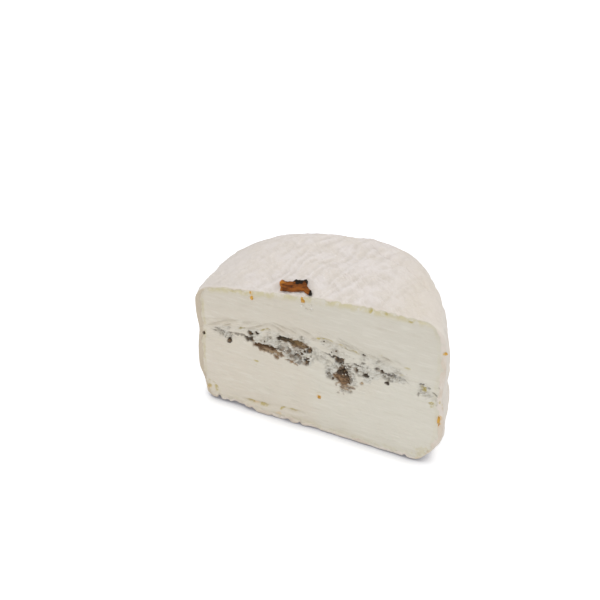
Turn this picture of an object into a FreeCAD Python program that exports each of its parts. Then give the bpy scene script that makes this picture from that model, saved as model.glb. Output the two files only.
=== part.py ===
"""Half a wheel of soft triple cream cheese with a truffle layer, as a parametric document.

The piece stands on its flat base with the knife cut facing -Y. Millimetres, +Z up, origin at the bottom
centre of the bounding box. Bodies and booleans take every size from the spreadsheet "Sizes".
"""
import FreeCAD, Part
import math
import os
import Sketcher

V = FreeCAD.Vector

SIZES = {
    # the wheel
    "wheel_radius": 41.0,        # largest radius of the whole wheel, at its lower belly
    "cut_offset": 2.2,           # the knife passed this far behind the wheel's axis
    "lower_belly_height": 15.0,  # the side bulges twice, with a waist at the truffle layer
    "upper_belly_height": 35.5,
    "upper_belly_in": 1.3,       # the upper bulge stands this far inside the lower one
    "side_curve": 62.0,          # radius of both bulges, seen from the front
    "foot_round": 6.5,           # rounding between side and base
    "rim_round": 5.5,            # rounding between side and domed top
    "cut_round": 0.9,            # softened edge all round the cut
    # the domed top, one large sphere whose highest point is off the axis
    "dome_radius": 150.0,
    "apex_height": 54.8,
    "apex_right": 19.0,
    "apex_back": 24.0,
    # the truffle layer, a round lens: thick in the middle and thin at the rind
    "layer_right": 4.0,          # its thickest place lies this far right of the wheel's axis
    "layer_past": 1.0,           # its thin edge lies this far past the wheel
    "layer_height": 21.6,        # height of its lowest place, under the thickest
    "layer_dip": 5.2,            # how much higher its underside is at the thin edge
    "layer_middle": 14.6,        # thickness in the middle
    "layer_edge": 0.8,           # thickness at the thin edge
    # the truffle slice pressed into the top beside the cut
    "slice_length": 9.6,
    "slice_width": 5.4,
    "slice_left": 8.0,           # its middle lies this far left of the wheel's axis
    "slice_setback": 0.3,        # between the cut and the slice
    "slice_proud": 0.35,         # how far it stands above the dome
    "slice_sunk": 0.9,           # how far it reaches below the dome
    # truffle shavings that the knife laid bare in the layer
    "shaving_depth": 4.0,
    "shaving_draft": 6.0,
}

# name: length, width, its middle right of the wheel's axis, its height as a share of the layer's greatest
# thickness, tilt clockwise in degrees, and then the outline's corners and the degrees they are turned by
SHAVINGS = {
    "truffle_shaving_1": (10.6, 4.0, -14.4, 0.39, 20.0, 7, 10.0),
    "truffle_shaving_2": (9.6, 2.5, -6.7, 0.78, -3.0, 8, 35.0),
    "truffle_shaving_3": (6.6, 6.6, 9.3, 0.25, 24.0, 7, 60.0),
}
SHAVING_FIELDS = ("length", "width", "right", "share", "tilt")
SLICE_OUTLINE = (9, 20.0)        # the slice's corners and the degrees they are turned by
UNEVEN = 0.10                    # share by which a chip's corners stray from an ellipse
UNEVEN_STEP = 2.7                # radians by which that straying moves on from corner to corner
SURE = 1e-4                      # lengths nearer than this are the same

CUT_Y = "-(<wheel_radius> - <cut_offset>) / 2"     # the cut stands in the plane at this y
AXIS_Y = "-(<wheel_radius> + <cut_offset>) / 2"    # and the wheel's axis here

doc = FreeCAD.newDocument("truffle_cheese")
body_tip = {}                    # each body's last feature so far


def make_sheet():
    """The spreadsheet with one aliased cell for each driving dimension."""
    sheet = doc.addObject("Spreadsheet::Sheet", "Sizes")
    values = dict(SIZES)
    for name, row in SHAVINGS.items():
        for field, value in zip(SHAVING_FIELDS, row):
            values[f"{name}_{field}"] = value
    for line, (alias, value) in enumerate(values.items(), start=1):
        sheet.set(f"A{line}", alias)
        sheet.set(f"B{line}", str(value))
        sheet.setAlias(f"B{line}", alias)
    doc.recompute()
    return sheet


def bind(thing, path, expression):
    """Binds a property, or a named constraint, to an expression on the sheet's cells (written as <name>)."""
    thing.setExpression(path, expression.replace("<", "Sizes.").replace(">", ""))


def new_body(name):
    body = doc.addObject("PartDesign::Body", name)
    body.Label = name
    return body


def new_sketch(body, name, plane):
    """A sketch on one of the body's own origin planes."""
    sketch = body.newObject("Sketcher::SketchObject", name)
    face = next(f for f in body.Origin.OriginFeatures if f.Role == plane)
    sketch.AttachmentSupport = [(face, "")]
    sketch.MapMode = "FlatFace"
    return sketch


def line(sketch, start, end):
    return sketch.addGeometry(Part.LineSegment(V(*start, 0), V(*end, 0)), False)


def arc(sketch, centre, start, end):
    """An arc about a centre, counter-clockwise from start to end."""
    angles = [math.atan2(p[1] - centre[1], p[0] - centre[0]) for p in (start, end)]
    if angles[1] < angles[0]:
        angles[1] += 2 * math.pi
    circle = Part.Circle(V(*centre, 0), V(0, 0, 1), math.dist(centre, start))
    return sketch.addGeometry(Part.ArcOfCircle(circle, *angles), False)


def join(sketch, one, one_end, two, two_end):
    sketch.addConstraint(Sketcher.Constraint("Coincident", one, one_end, two, two_end))


def place_point(sketch, geometry, end, name, across, up):
    """Fixes a point of a sketch at (across, up), both expressions, by two named distances from the origin."""
    point = sketch.getPoint(geometry, end)
    for kind, axis, value, expression in (
        ("DistanceX", "across", point.x, across),
        ("DistanceY", "up", point.y, up),
    ):
        index = sketch.addConstraint(Sketcher.Constraint(kind, -1, 1, geometry, end, value))
        sketch.renameConstraint(index, f"{name}_{axis}")
        bind(sketch, f"Constraints.{name}_{axis}", expression)


def name_radius(sketch, geometry, name, value, expression):
    index = sketch.addConstraint(Sketcher.Constraint("Radius", geometry, value))
    sketch.renameConstraint(index, name)
    bind(sketch, f"Constraints.{name}", expression)


def side_profile(body):
    """Half the wheel's section: flat base, a side of two bulges and a flat lid above the dome."""
    sketch = new_sketch(body, "side_profile", "XZ_Plane")
    curve = SIZES["side_curve"]
    lid = SIZES["apex_height"] + SIZES["rim_round"]
    lower_centre = (SIZES["wheel_radius"] - curve, SIZES["lower_belly_height"])
    upper_centre = (lower_centre[0] - SIZES["upper_belly_in"], SIZES["upper_belly_height"])

    def reach(centre, height):
        return centre[0] + math.sqrt(curve**2 - (height - centre[1]) ** 2)

    # the waist, where the two equal circles cross: square to the middle of the line between their centres
    apart = math.dist(lower_centre, upper_centre)
    out = math.sqrt(curve**2 - (apart / 2) ** 2) / apart
    waist = (
        (lower_centre[0] + upper_centre[0]) / 2 + out * (upper_centre[1] - lower_centre[1]),
        (lower_centre[1] + upper_centre[1]) / 2 - out * (upper_centre[0] - lower_centre[0]),
    )

    base = line(sketch, (0, 0), (reach(lower_centre, 0), 0))
    lower = arc(sketch, lower_centre, (reach(lower_centre, 0), 0), waist)
    upper = arc(sketch, upper_centre, waist, (reach(upper_centre, lid), lid))
    top = line(sketch, (reach(upper_centre, lid), lid), (0, lid))
    axis = line(sketch, (0, lid), (0, 0))
    join(sketch, base, 2, lower, 1)
    join(sketch, lower, 2, upper, 1)
    join(sketch, upper, 2, top, 1)
    join(sketch, top, 2, axis, 1)
    join(sketch, axis, 2, base, 1)
    join(sketch, base, 1, -1, 1)
    sketch.addConstraint(Sketcher.Constraint("Horizontal", base))
    sketch.addConstraint(Sketcher.Constraint("Horizontal", top))
    sketch.addConstraint(Sketcher.Constraint("Vertical", axis))
    across = "<wheel_radius> - <side_curve>"
    name_radius(sketch, lower, "lower_curve", curve, "<side_curve>")
    name_radius(sketch, upper, "upper_curve", curve, "<side_curve>")
    place_point(sketch, lower, 3, "lower_centre", across, "<lower_belly_height>")
    place_point(sketch, upper, 3, "upper_centre", across + " - <upper_belly_in>", "<upper_belly_height>")
    index = sketch.addConstraint(Sketcher.Constraint("DistanceY", -1, 1, axis, 1, lid))
    sketch.renameConstraint(index, "lid_height")
    bind(sketch, "Constraints.lid_height", "<apex_height> + <rim_round>")
    return sketch


def dome_profile(body):
    """What lies above the dome, from its highest point out: an arc, a wall past the wheel and a ceiling."""
    sketch = new_sketch(body, "dome_profile", "XZ_Plane")
    bind(sketch, ".AttachmentOffset.Base.x", "<apex_right>")
    bind(sketch, ".AttachmentOffset.Base.z", "-<apex_back>")
    reach = 2 * SIZES["wheel_radius"]
    radius, apex = SIZES["dome_radius"], SIZES["apex_height"]
    ceiling = apex + 2 * SIZES["rim_round"]

    def height(across):
        return apex - radius + math.sqrt(radius**2 - across**2)

    dome = arc(sketch, (0, apex - radius), (reach, height(reach)), (0, apex))
    wall = line(sketch, (reach, height(reach)), (reach, ceiling))
    top = line(sketch, (reach, ceiling), (0, ceiling))
    axis = line(sketch, (0, ceiling), (0, apex))
    join(sketch, dome, 1, wall, 1)
    join(sketch, wall, 2, top, 1)
    join(sketch, top, 2, axis, 1)
    join(sketch, axis, 2, dome, 2)
    sketch.addConstraint(Sketcher.Constraint("Vertical", wall))
    sketch.addConstraint(Sketcher.Constraint("Horizontal", top))
    sketch.addConstraint(Sketcher.Constraint("PointOnObject", dome, 3, -2))
    name_radius(sketch, dome, "dome_radius", radius, "<dome_radius>")
    place_point(sketch, axis, 2, "apex", "0", "<apex_height>")
    place_point(sketch, top, 1, "far_corner", "2 * <wheel_radius>", "<apex_height> + 2 * <rim_round>")
    sketch.addConstraint(Sketcher.Constraint("PointOnObject", axis, 1, -2))
    return sketch


def edges_at(shape, test):
    """Names of the edges whose every sampled point passes the test; an edge shrunk to a pole is left out."""
    samples = 9
    real = [(i, edge) for i, edge in enumerate(shape.Edges, start=1) if not edge.Degenerated]
    return [f"Edge{i}" for i, edge in real if all(test(p) for p in edge.discretize(samples))]


def add_fillet(body, name, edges, expression):
    """Rounds edges of the body's tip."""
    fillet = body.newObject("PartDesign::Fillet", name)
    fillet.Base = (body_tip[body.Name], edges)
    bind(fillet, "Radius", expression)
    doc.recompute()
    body_tip[body.Name] = fillet
    return fillet


def half_wheel():
    """The whole piece before it is parted into layers: turned, domed, rounded and cut."""
    body = new_body("half_wheel")
    turn = body.newObject("PartDesign::Revolution", "turned_wheel")
    turn.Profile = side_profile(body)
    turn.ReferenceAxis = (turn.Profile[0], ["V_Axis"])
    turn.Angle = 360
    doc.recompute()

    dome = body.newObject("PartDesign::Groove", "domed_top")
    dome.Profile = dome_profile(body)
    dome.ReferenceAxis = (dome.Profile[0], ["V_Axis"])
    dome.Angle = 360
    doc.recompute()
    body_tip[body.Name] = dome

    radius, ball_radius = SIZES["wheel_radius"], SIZES["dome_radius"]
    ball_centre = V(SIZES["apex_right"], SIZES["apex_back"], SIZES["apex_height"] - ball_radius)

    def near_side(point):
        return math.hypot(point.x, point.y) > radius / 2

    def on_dome(point):
        return abs((point - ball_centre).Length - ball_radius) < SURE

    foot = edges_at(dome.Shape, lambda p: near_side(p) and p.z < SURE)
    add_fillet(body, "foot_rounding", foot, "<foot_round>")
    rim = edges_at(body_tip[body.Name].Shape, lambda p: near_side(p) and on_dome(p))
    add_fillet(body, "rim_rounding", rim, "<rim_round>")

    knife = new_sketch(body, "knife_side", "XY_Plane")
    reach = 2 * radius
    cut = SIZES["cut_offset"]
    corners = [(-reach, -reach), (reach, -reach), (reach, cut), (-reach, cut)]
    sides = [line(knife, corners[i], corners[(i + 1) % 4]) for i in range(4)]
    for i in range(4):
        join(knife, sides[i], 2, sides[(i + 1) % 4], 1)
    for i, kind in enumerate(("Horizontal", "Vertical", "Horizontal", "Vertical")):
        knife.addConstraint(Sketcher.Constraint(kind, sides[i]))
    place_point(knife, sides[0], 1, "near_corner", "-2 * <wheel_radius>", "-2 * <wheel_radius>")
    place_point(knife, sides[2], 1, "far_corner", "2 * <wheel_radius>", "<cut_offset>")
    pocket = body.newObject("PartDesign::Pocket", "knife_cut")
    pocket.Profile = knife
    pocket.Type = "Length"
    pocket.Reversed = True
    bind(pocket, "Length", "2 * <apex_height>")
    doc.recompute()
    body_tip[body.Name] = pocket

    on_cut = edges_at(pocket.Shape, lambda p: abs(p.y - cut) < SURE)
    add_fillet(body, "softened_cut", on_cut, "<cut_round>")
    bind(body, "Placement.Base.y", AXIS_Y)
    doc.recompute()
    return body


def layer_heights():
    """Heights of the layer's two faces in the middle and at the thin edge: (expression, value) by name."""
    texts = {
        "low_middle": "<layer_height>",
        "low_edge": "<layer_height> + <layer_dip>",
        "high_middle": "<layer_height> + <layer_middle>",
        "high_edge": "<layer_height> + <layer_dip> + <layer_edge>",
    }
    low, dip = SIZES["layer_height"], SIZES["layer_dip"]
    values = (low, low + dip, low + SIZES["layer_middle"], low + dip + SIZES["layer_edge"])
    return {name: (text, value) for (name, text), value in zip(texts.items(), values)}


def lens_profile(body, name, low, high):
    """Half a section, from the layer's axis out, of what lies between two of its faces.

    high is "low" or "high", and so is low, or None for a flat bottom under the wheel.
    """
    sketch = new_sketch(body, name, "XZ_Plane")
    bind(sketch, ".AttachmentOffset.Base.x", "<layer_right>")
    reach = SIZES["wheel_radius"] + SIZES["layer_right"] + SIZES["layer_past"]
    reach_text = "(<wheel_radius> + <layer_right> + <layer_past>)"
    heights = layer_heights()

    def face(side):
        """One face as an arc; returns it with its end on the axis and its end at the reach."""
        middle_text, middle = heights[side + "_middle"]
        edge_text, edge = heights[side + "_edge"]
        rise_text = f"(({edge_text}) - ({middle_text}))"
        radius = (reach**2 + (edge - middle) ** 2) / (2 * abs(edge - middle))
        radius_text = f"({reach_text}^2 + {rise_text}^2) / (2 * abs({rise_text}))"
        if middle > edge:
            made, ends = arc(sketch, (0, middle - radius), (reach, edge), (0, middle)), (2, 1)
        else:
            made, ends = arc(sketch, (0, middle + radius), (0, middle), (reach, edge)), (1, 2)
        sketch.addConstraint(Sketcher.Constraint("PointOnObject", made, 3, -2))
        name_radius(sketch, made, side + "_radius", radius, radius_text)
        place_point(sketch, made, ends[1], side + "_edge", reach_text, edge_text)
        return made, *ends

    upper, upper_axis, upper_edge = face(high)
    if low:
        lower, lower_axis, lower_edge = face(low)
        lowest, low_edge = heights[low + "_middle"][1], heights[low + "_edge"][1]
    else:
        lowest = low_edge = -SIZES["foot_round"]
        lower, lower_axis, lower_edge = line(sketch, (0, lowest), (reach, lowest)), 1, 2
        place_point(sketch, lower, 2, "low_corner", reach_text, "-<foot_round>")
        sketch.addConstraint(Sketcher.Constraint("Horizontal", lower))
    edge = line(sketch, (reach, low_edge), (reach, heights[high + "_edge"][1]))
    axis = line(sketch, (0, heights[high + "_middle"][1]), (0, lowest))
    join(sketch, lower, lower_edge, edge, 1)
    join(sketch, edge, 2, upper, upper_edge)
    join(sketch, upper, upper_axis, axis, 1)
    join(sketch, axis, 2, lower, lower_axis)
    sketch.addConstraint(Sketcher.Constraint("Vertical", axis))
    if not low:
        sketch.addConstraint(Sketcher.Constraint("PointOnObject", axis, 2, -2))
    return sketch


def lens(name, low, high):
    """A round tool about the layer's own axis, which stands a little right of the wheel's."""
    body = new_body(name)
    turn = body.newObject("PartDesign::Revolution", name + "_turned")
    turn.Profile = lens_profile(body, name + "_outline", low, high)
    turn.ReferenceAxis = (turn.Profile[0], ["V_Axis"])
    turn.Angle = 360
    bind(body, "Placement.Base.y", AXIS_Y)
    doc.recompute()
    return body


def chip_sketch(body, plane, length, width, corners, phase):
    """An uneven polygon about the sketch's origin: corners on an ellipse, each moved out or in a little.

    length and width are each a cell's name and its value.
    """
    sketch = new_sketch(body, body.Name + "_outline", plane)
    shares = []
    for i in range(corners):
        angle = math.radians(360.0 * i / corners + phase)
        stray = 1 + UNEVEN * math.sin(UNEVEN_STEP * i + math.radians(phase))
        shares.append((0.5 * stray * math.cos(angle), 0.5 * stray * math.sin(angle)))
    # stretched so that the outline is exactly as long and as wide as stated
    spans = [max(s[k] for s in shares) - min(s[k] for s in shares) for k in (0, 1)]
    middles = [(max(s[k] for s in shares) + min(s[k] for s in shares)) / 2 for k in (0, 1)]
    shares = [tuple((s[k] - middles[k]) / spans[k] for k in (0, 1)) for s in shares]
    points = [(across * length[1], up * width[1]) for across, up in shares]
    sides = [line(sketch, points[i], points[(i + 1) % corners]) for i in range(corners)]
    for i, (across, up) in enumerate(shares):
        join(sketch, sides[i - 1], 2, sides[i], 1)
        place_point(
            sketch, sides[i], 1, f"corner{i}",
            f"<{length[0]}> * ({across:.5f})", f"<{width[0]}> * ({up:.5f})",
        )
    return sketch


def cell(name):
    """A cell's name with its value, from either table."""
    if name in SIZES:
        return name, SIZES[name]
    owner, field = name.rsplit("_", 1)
    return name, SHAVINGS[owner][SHAVING_FIELDS.index(field)]


def chip(name):
    """The tool for a truffle shaving: an uneven chip that goes in from the cut and narrows inwards."""
    corners, phase = SHAVINGS[name][5:]
    body = new_body(name + "_tool")
    sketch = chip_sketch(body, "XZ_Plane", cell(name + "_length"), cell(name + "_width"), corners, phase)
    pad = body.newObject("PartDesign::Pad", name + "_pad")
    pad.Profile = sketch
    pad.Reversed = True
    bind(pad, "Length", "<shaving_depth>")
    bind(pad, "TaperAngle", "-<shaving_draft>")
    bind(body, "Placement.Base.x", f"<{name}_right>")
    bind(body, "Placement.Base.y", CUT_Y)
    bind(body, "Placement.Base.z", f"<layer_height> + <{name}_share> * <layer_middle>")
    body.Placement.Rotation = FreeCAD.Rotation(V(0, 1, 0), 0)
    bind(body, "Placement.Rotation.Angle", f"<{name}_tilt>")
    doc.recompute()
    return body


def ball(name, grow):
    """A sphere about the dome's centre."""
    sphere = doc.addObject("Part::Sphere", name)
    bind(sphere, "Radius", f"<dome_radius> + ({grow})")
    bind(sphere, "Placement.Base.x", "<apex_right>")
    bind(sphere, "Placement.Base.y", AXIS_Y + " + <apex_back>")
    bind(sphere, "Placement.Base.z", "<apex_height> - <dome_radius>")
    return sphere


def boolean(kind, name, base, tool):
    made = doc.addObject("Part::" + kind, name)
    made.Label = name
    made.Base = base
    made.Tool = tool
    doc.recompute()
    return made


def top_slice():
    """The truffle slice on top: an uneven outline between two spheres, one just above the dome, one below."""
    prism = new_body("slice_prism")
    sketch = chip_sketch(prism, "XY_Plane", cell("slice_length"), cell("slice_width"), *SLICE_OUTLINE)
    pad = prism.newObject("PartDesign::Pad", "slice_pad")
    pad.Profile = sketch
    bind(pad, "Length", "<apex_height>")
    bind(prism, "Placement.Base.x", "-<slice_left>")
    bind(prism, "Placement.Base.y", CUT_Y + " + <slice_setback> + <slice_width> / 2")
    bind(prism, "Placement.Base.z", "<apex_height> / 2")
    doc.recompute()
    capped = boolean("Common", "slice_capped", prism, ball("slice_top", "<slice_proud>"))
    return boolean("Cut", "truffle_slice", capped, ball("slice_bottom", "-<slice_sunk>"))


def check(thing):
    """Stops the build at a failed feature or an unsound shape."""
    if "Invalid" in thing.State or "Error" in thing.State:
        raise SystemExit(f"{thing.Name} failed: {thing.State}")


def main():
    make_sheet()
    whole = half_wheel()
    below = lens("below_layer", None, "low")
    layer_lens = lens("layer_lens", "low", "high")
    chips = [chip(name) for name in SHAVINGS]
    slice_on_top = top_slice()

    lower = boolean("Common", "lower_paste", whole, below)
    rest = boolean("Cut", "above_lower", whole, below)
    layer = boolean("Common", "layer_whole", rest, layer_lens)
    shavings = [boolean("Common", name, layer, tool) for name, tool in zip(SHAVINGS, chips)]
    for tool in chips:
        layer = boolean("Cut", "layer_less_" + tool.Name, layer, tool)
    layer.Label = "truffle_layer"
    upper = boolean("Cut", "upper_whole", rest, layer_lens)
    upper = boolean("Cut", "upper_less_slice", upper, slice_on_top)
    upper.Label = "upper_paste"

    for thing in doc.Objects:
        check(thing)
    os.makedirs("parts", exist_ok=True)
    for part in [lower, layer, upper, slice_on_top, *shavings]:
        shape = part.Shape
        if shape.isNull() or not shape.isValid() or not shape.Solids:
            raise SystemExit(f"{part.Label} has no sound solid")
        box = shape.optimalBoundingBox()
        print(
            f"{part.Label}: {len(shape.Solids)} solid, {shape.Volume / 1000:.2f} cm3, "
            f"x {box.XMin:.2f}..{box.XMax:.2f} y {box.YMin:.2f}..{box.YMax:.2f} "
            f"z {box.ZMin:.2f}..{box.ZMax:.2f}"
        )
        shape.exportStep(os.path.join("parts", part.Label + ".step"))


main()
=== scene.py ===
"""Half of a small triple cream cheese, cut upright, with a truffle layer and a truffle slice on top.

Shapes are worked out in millimetres as whole arrays and become metres when a mesh is made.
"""
import itertools
import math

import bpy
import numpy as np
from mathutils import Euler, Matrix, Vector


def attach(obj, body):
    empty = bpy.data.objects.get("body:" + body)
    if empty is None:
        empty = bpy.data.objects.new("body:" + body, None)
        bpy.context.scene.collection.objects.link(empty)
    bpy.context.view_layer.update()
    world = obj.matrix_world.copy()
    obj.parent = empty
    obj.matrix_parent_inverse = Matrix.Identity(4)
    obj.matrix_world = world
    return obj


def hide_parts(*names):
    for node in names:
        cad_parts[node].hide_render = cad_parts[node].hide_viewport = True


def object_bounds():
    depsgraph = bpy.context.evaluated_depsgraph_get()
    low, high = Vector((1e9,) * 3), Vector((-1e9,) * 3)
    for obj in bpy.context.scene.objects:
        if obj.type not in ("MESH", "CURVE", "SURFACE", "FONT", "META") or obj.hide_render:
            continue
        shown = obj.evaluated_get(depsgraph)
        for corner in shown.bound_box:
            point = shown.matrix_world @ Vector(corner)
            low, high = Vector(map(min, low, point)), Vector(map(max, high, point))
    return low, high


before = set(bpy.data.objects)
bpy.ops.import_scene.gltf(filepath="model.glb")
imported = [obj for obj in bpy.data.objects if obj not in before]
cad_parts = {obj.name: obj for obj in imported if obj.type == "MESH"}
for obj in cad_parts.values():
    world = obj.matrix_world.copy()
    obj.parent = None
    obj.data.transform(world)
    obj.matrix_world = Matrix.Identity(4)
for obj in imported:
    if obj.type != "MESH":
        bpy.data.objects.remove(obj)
cad_box = [list(corner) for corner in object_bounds()]

MM = 0.001
BODY = "root"

# ---- the wheel's own sizes, from the frame where it gives them ----

HEIGHT = cad_box[1][2] / MM  # to the top of the dome
BACK = cad_box[1][1] / MM  # the back of the rind; the origin stands midway to the cut
CUT = -BACK  # the plane of the knife cut
CUT_OFFSET = 2.2  # the knife passed this far behind the wheel's axis
AXIS = CUT - CUT_OFFSET  # y of the wheel's axis
RADIUS = BACK - AXIS  # at the lower bulge of the side
SIDE_CURVE = 62.0  # radius of both bulges, seen from the front
LOWER_BELLY, UPPER_BELLY = 15.0, 35.5  # heights of the two bulges
UPPER_IN = 1.0  # the upper bulge stands this far inside the lower one
FOLD_ROOM = 0.3  # left for the folds of the rind, which stand out of the side
WAIST_BLEND = 0.6  # how softly the two bulges meet
RIM_ROUND, FOOT_ROUND = 5.0, 2.0  # rounding of the rim and of the foot at the cut
CORE = 9.0  # every part of the skin is found from a core this far inside
DOME_RADIUS = 150.0
APEX = (19.0, AXIS + 24.0)  # the dome's highest point
LAYER_RIGHT = 4.0  # the truffle layer is thickest this far right of the axis
LAYER_REACH = RADIUS + LAYER_RIGHT + 1.0  # from there to its far edge
LAYER_LOW, LAYER_DIP = 21.6, 5.2  # height of its lowest point, and how far its edge stands over that
LAYER_MIDDLE, LAYER_EDGE = 14.6, 0.8  # its thickness in the middle and at the edge
MIDDLE = CUT + 0.42 * 2 * BACK  # y of the point that the plan's columns fan out from
CUT_COLUMNS, BACK_COLUMNS = 380, 170  # columns of the grids along the cut and round the back
SEED = 7  # every random pattern adds a number of its own to this


# ---- numbers for arrays ----

def ease(low, high, value):
    """0 below low, 1 above high and the cubic 3t^2 - 2t^3 between them."""
    t = np.clip((value - low) / (high - low), 0.0, 1.0)
    return t * t * (3 - 2 * t)


def hump(value, middle, width):
    """A bell curve of height 1: e to the minus square of the distance from the middle over the width."""
    return np.exp(-(((value - middle) / width) ** 2))


def turned(x, z, turn):
    """Distances along and across a direction that makes the angle turn with the x axis."""
    return x * math.cos(turn) + z * math.sin(turn), z * math.cos(turn) - x * math.sin(turn)


def soft_min(one, two, blend):
    """The smaller of two values, rounded off by a parabola where they differ by less than blend."""
    h = np.maximum(blend - np.abs(one - two), 0) / blend
    return np.minimum(one, two) - h * h * blend / 4


CELL_PRIMES = (73856093, 19349663, 83492791)  # large numbers that scatter the lattice's cells
SEED_PRIME, STIR = 40503, 1274126177


def chance(cell, seed):
    """A repeatable number from 0 to 1 for each whole-number lattice cell: its numbers hashed together."""
    mixed = (SEED + seed) * SEED_PRIME
    for axis, prime in enumerate(CELL_PRIMES):
        mixed = mixed ^ (cell[..., axis] * prime)
    mixed = (mixed ^ (mixed >> 13)) * STIR
    mixed = mixed ^ (mixed >> 16)
    return (mixed & 0xFFFFF) / 0xFFFFF


def noise(point, size, seed):
    """Smooth noise from -1 to 1: chance at the corners of a lattice of that size, blended by ease's cubic."""
    q = point / size
    cell = np.floor(q).astype(np.int64)
    part = ease(0, 1, q - cell)
    total = 0
    for corner in itertools.product((0, 1), repeat=3):
        share = np.prod(np.where(corner, part, 1 - part), axis=-1)
        total = total + share * chance(cell + np.array(corner), seed)
    return 2 * total - 1


def ripple(seed, *coordinates):
    """Smooth noise at coordinates that are already divided by the size wanted along each axis."""
    return noise(stack(*coordinates), 1.0, seed)


def fractal(point, size, octaves, seed):
    """Noise with finer noise added, each octave half as large and half as strong as the one before."""
    return sum(noise(point, size / 2**k, seed + k) / 2**k for k in range(octaves))


def grains(point, size, seed):
    """Scattered grains: the distances to the nearest and the next jittered lattice point, and a chance."""
    q = point / size
    cell = np.floor(q).astype(np.int64)
    near = np.full(q.shape[:-1], 9.0)
    next_near = near.copy()
    luck = np.zeros(q.shape[:-1])
    for step in itertools.product((-1, 0, 1), repeat=3):
        other = cell + np.array(step)
        place = other + np.stack([chance(other, seed + k) for k in (1, 2, 3)], axis=-1)
        away = np.linalg.norm(q - place, axis=-1)
        closer = away < near
        next_near = np.where(closer, near, np.minimum(next_near, away))
        luck = np.where(closer, chance(other, seed + 4), luck)
        near = np.where(closer, away, near)
    return near, next_near, luck


def stack(*coordinates):
    """Points from separate coordinate arrays or numbers."""
    return np.stack(np.broadcast_arrays(*coordinates), axis=-1).astype(float)


# ---- the wheel's surfaces ----

def side_radius(z):
    """The wheel's radius at a height: the outer of two arcs of one radius, blended at the waist."""
    def bulge(middle, inset):
        rise = np.clip(z, 0, HEIGHT) - middle
        return RADIUS - FOLD_ROOM - inset - SIDE_CURVE + np.sqrt(SIDE_CURVE**2 - rise**2)

    return -soft_min(-bulge(LOWER_BELLY, 0), -bulge(UPPER_BELLY, UPPER_IN), WAIST_BLEND)


def dome(x, y):
    """Height of the top: a sphere about a point below its off-centre highest point."""
    reach = (x - APEX[0]) ** 2 + (y - APEX[1]) ** 2
    return HEIGHT - DOME_RADIUS + np.sqrt(DOME_RADIUS**2 - reach)


def layer_face(x, y, upper):
    """Height of the truffle layer's lower or upper face: a parabola of the distance from the layer's axis."""
    share = ((x - LAYER_RIGHT) ** 2 + (y - AXIS) ** 2) / LAYER_REACH**2
    edge = LAYER_LOW + LAYER_DIP
    if upper:
        return LAYER_LOW + LAYER_MIDDLE + (edge + LAYER_EDGE - LAYER_LOW - LAYER_MIDDLE) * share
    return LAYER_LOW + LAYER_DIP * share


SHOULDER, SMALL_SWELL, FLAT = (2.43, 0.42), (1.35, 0.35), (0.65, 0.3)  # direction and width, in radians


def lobes(x, y, z):
    """How far the hand-shaped wheel swells past a true circle, by direction and height.

    Round the back: two cosine waves and two bell-shaped swells, less a flat. Its left and right sides lean in
    towards the foot.
    """
    turn = np.arctan2(y - AXIS, x)
    left = (0.55 + 1.1 * ease(13, 7, z)) * ease(36, 24, z)
    right = 4.6 * np.clip((13 - z) / 13, 0, 1) ** 1.3 - 0.4 * hump(z, 17, 9)
    lean = left * ease(-0.2, -0.9, np.cos(turn)) + right * ease(0.3, 0.9, np.cos(turn))
    waves = 0.4 * np.cos(5 * turn + 0.4) + 0.4 * np.cos(3 * turn - 1.9)
    swells = 4.0 * hump(turn, *SHOULDER) + 0.6 * hump(turn, *SMALL_SWELL)
    return np.clip(np.sin(turn), 0, 1) * waves + swells - 0.9 * hump(turn, *FLAT) - lean


def top(x, y):
    """The dome, raised by two bell curves round its left, and let down along the middle of the cut.

    The cut's part is a parabola of x, negative in the middle, that fades out behind the cut.
    """
    turn, reach = np.arctan2(y - AXIS, x), np.hypot(x, y - AXIS)
    raised = 1.6 * hump(turn, 2.4, 0.6) * ease(14, 36, reach)
    raised += 0.9 * hump(turn, 2.95, 0.35) * ease(20, 34, reach)
    return dome(x, y) + raised + (1.5 * (x / 36) ** 2 - 0.9) * np.exp(-(y - CUT) / 7)


NOTCHES = (  # x, width and height of the notches in the cut's bottom edge
    (30.2, 0.5, 0.9), (-33.3, 0.6, 1.6), (-27.7, 1.1, 0.5), (-21.4, 0.6, 0.6), (-8.7, 0.8, 0.9),
    (-4.6, 0.7, 0.6),
)


def underside(x, y):
    """Height of the underside: flat, but curling up along the cut, in scallops on the left and in notches."""
    near = np.exp(-np.maximum(y - CUT, 0) / 1.6)
    curl = 0.25 + 0.25 * ease(-15, -22, x)
    scallops = ease(-0.1, 0.7, ripple(17, x / 1.6, 0, 3)) * ease(6, -2, x)
    notches = sum(high * hump(x, middle, wide) for middle, wide, high in NOTCHES)
    return near * (curl + 0.35 * scallops + notches)


def rounded(one, two, radius):
    """Depth under two faces that meet in an edge of that radius."""
    corner = radius - np.hypot(np.maximum(radius - one, 0), np.maximum(radius - two, 0))
    return np.where((one < radius) & (two < radius), corner, np.minimum(one, two))


def skin_depth(p):
    """How deep a point lies under the whole wheel's skin: side, top and underside with rounded edges."""
    x, y, z = np.moveaxis(p, -1, 0)
    side = side_radius(z) + lobes(x, y, z) - np.hypot(x, y - AXIS)
    over = rounded(side, top(x, y) - z, RIM_ROUND - 1.2 * ease(-24, -36, x))
    foot = FOOT_ROUND + 4 * ease(3, 20, y - CUT)
    return np.minimum(over, rounded(side, z - underside(x, y), foot))


def edge_round(z):
    """Rounding of the cut's edge, softer along the top."""
    return 0.8 + 0.9 * ease(38, 46, z)


def depth(p):
    """How deep a point lies under the half wheel's surface."""
    return rounded(skin_depth(p), p[..., 1] - CUT, edge_round(p[..., 2]))


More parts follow.
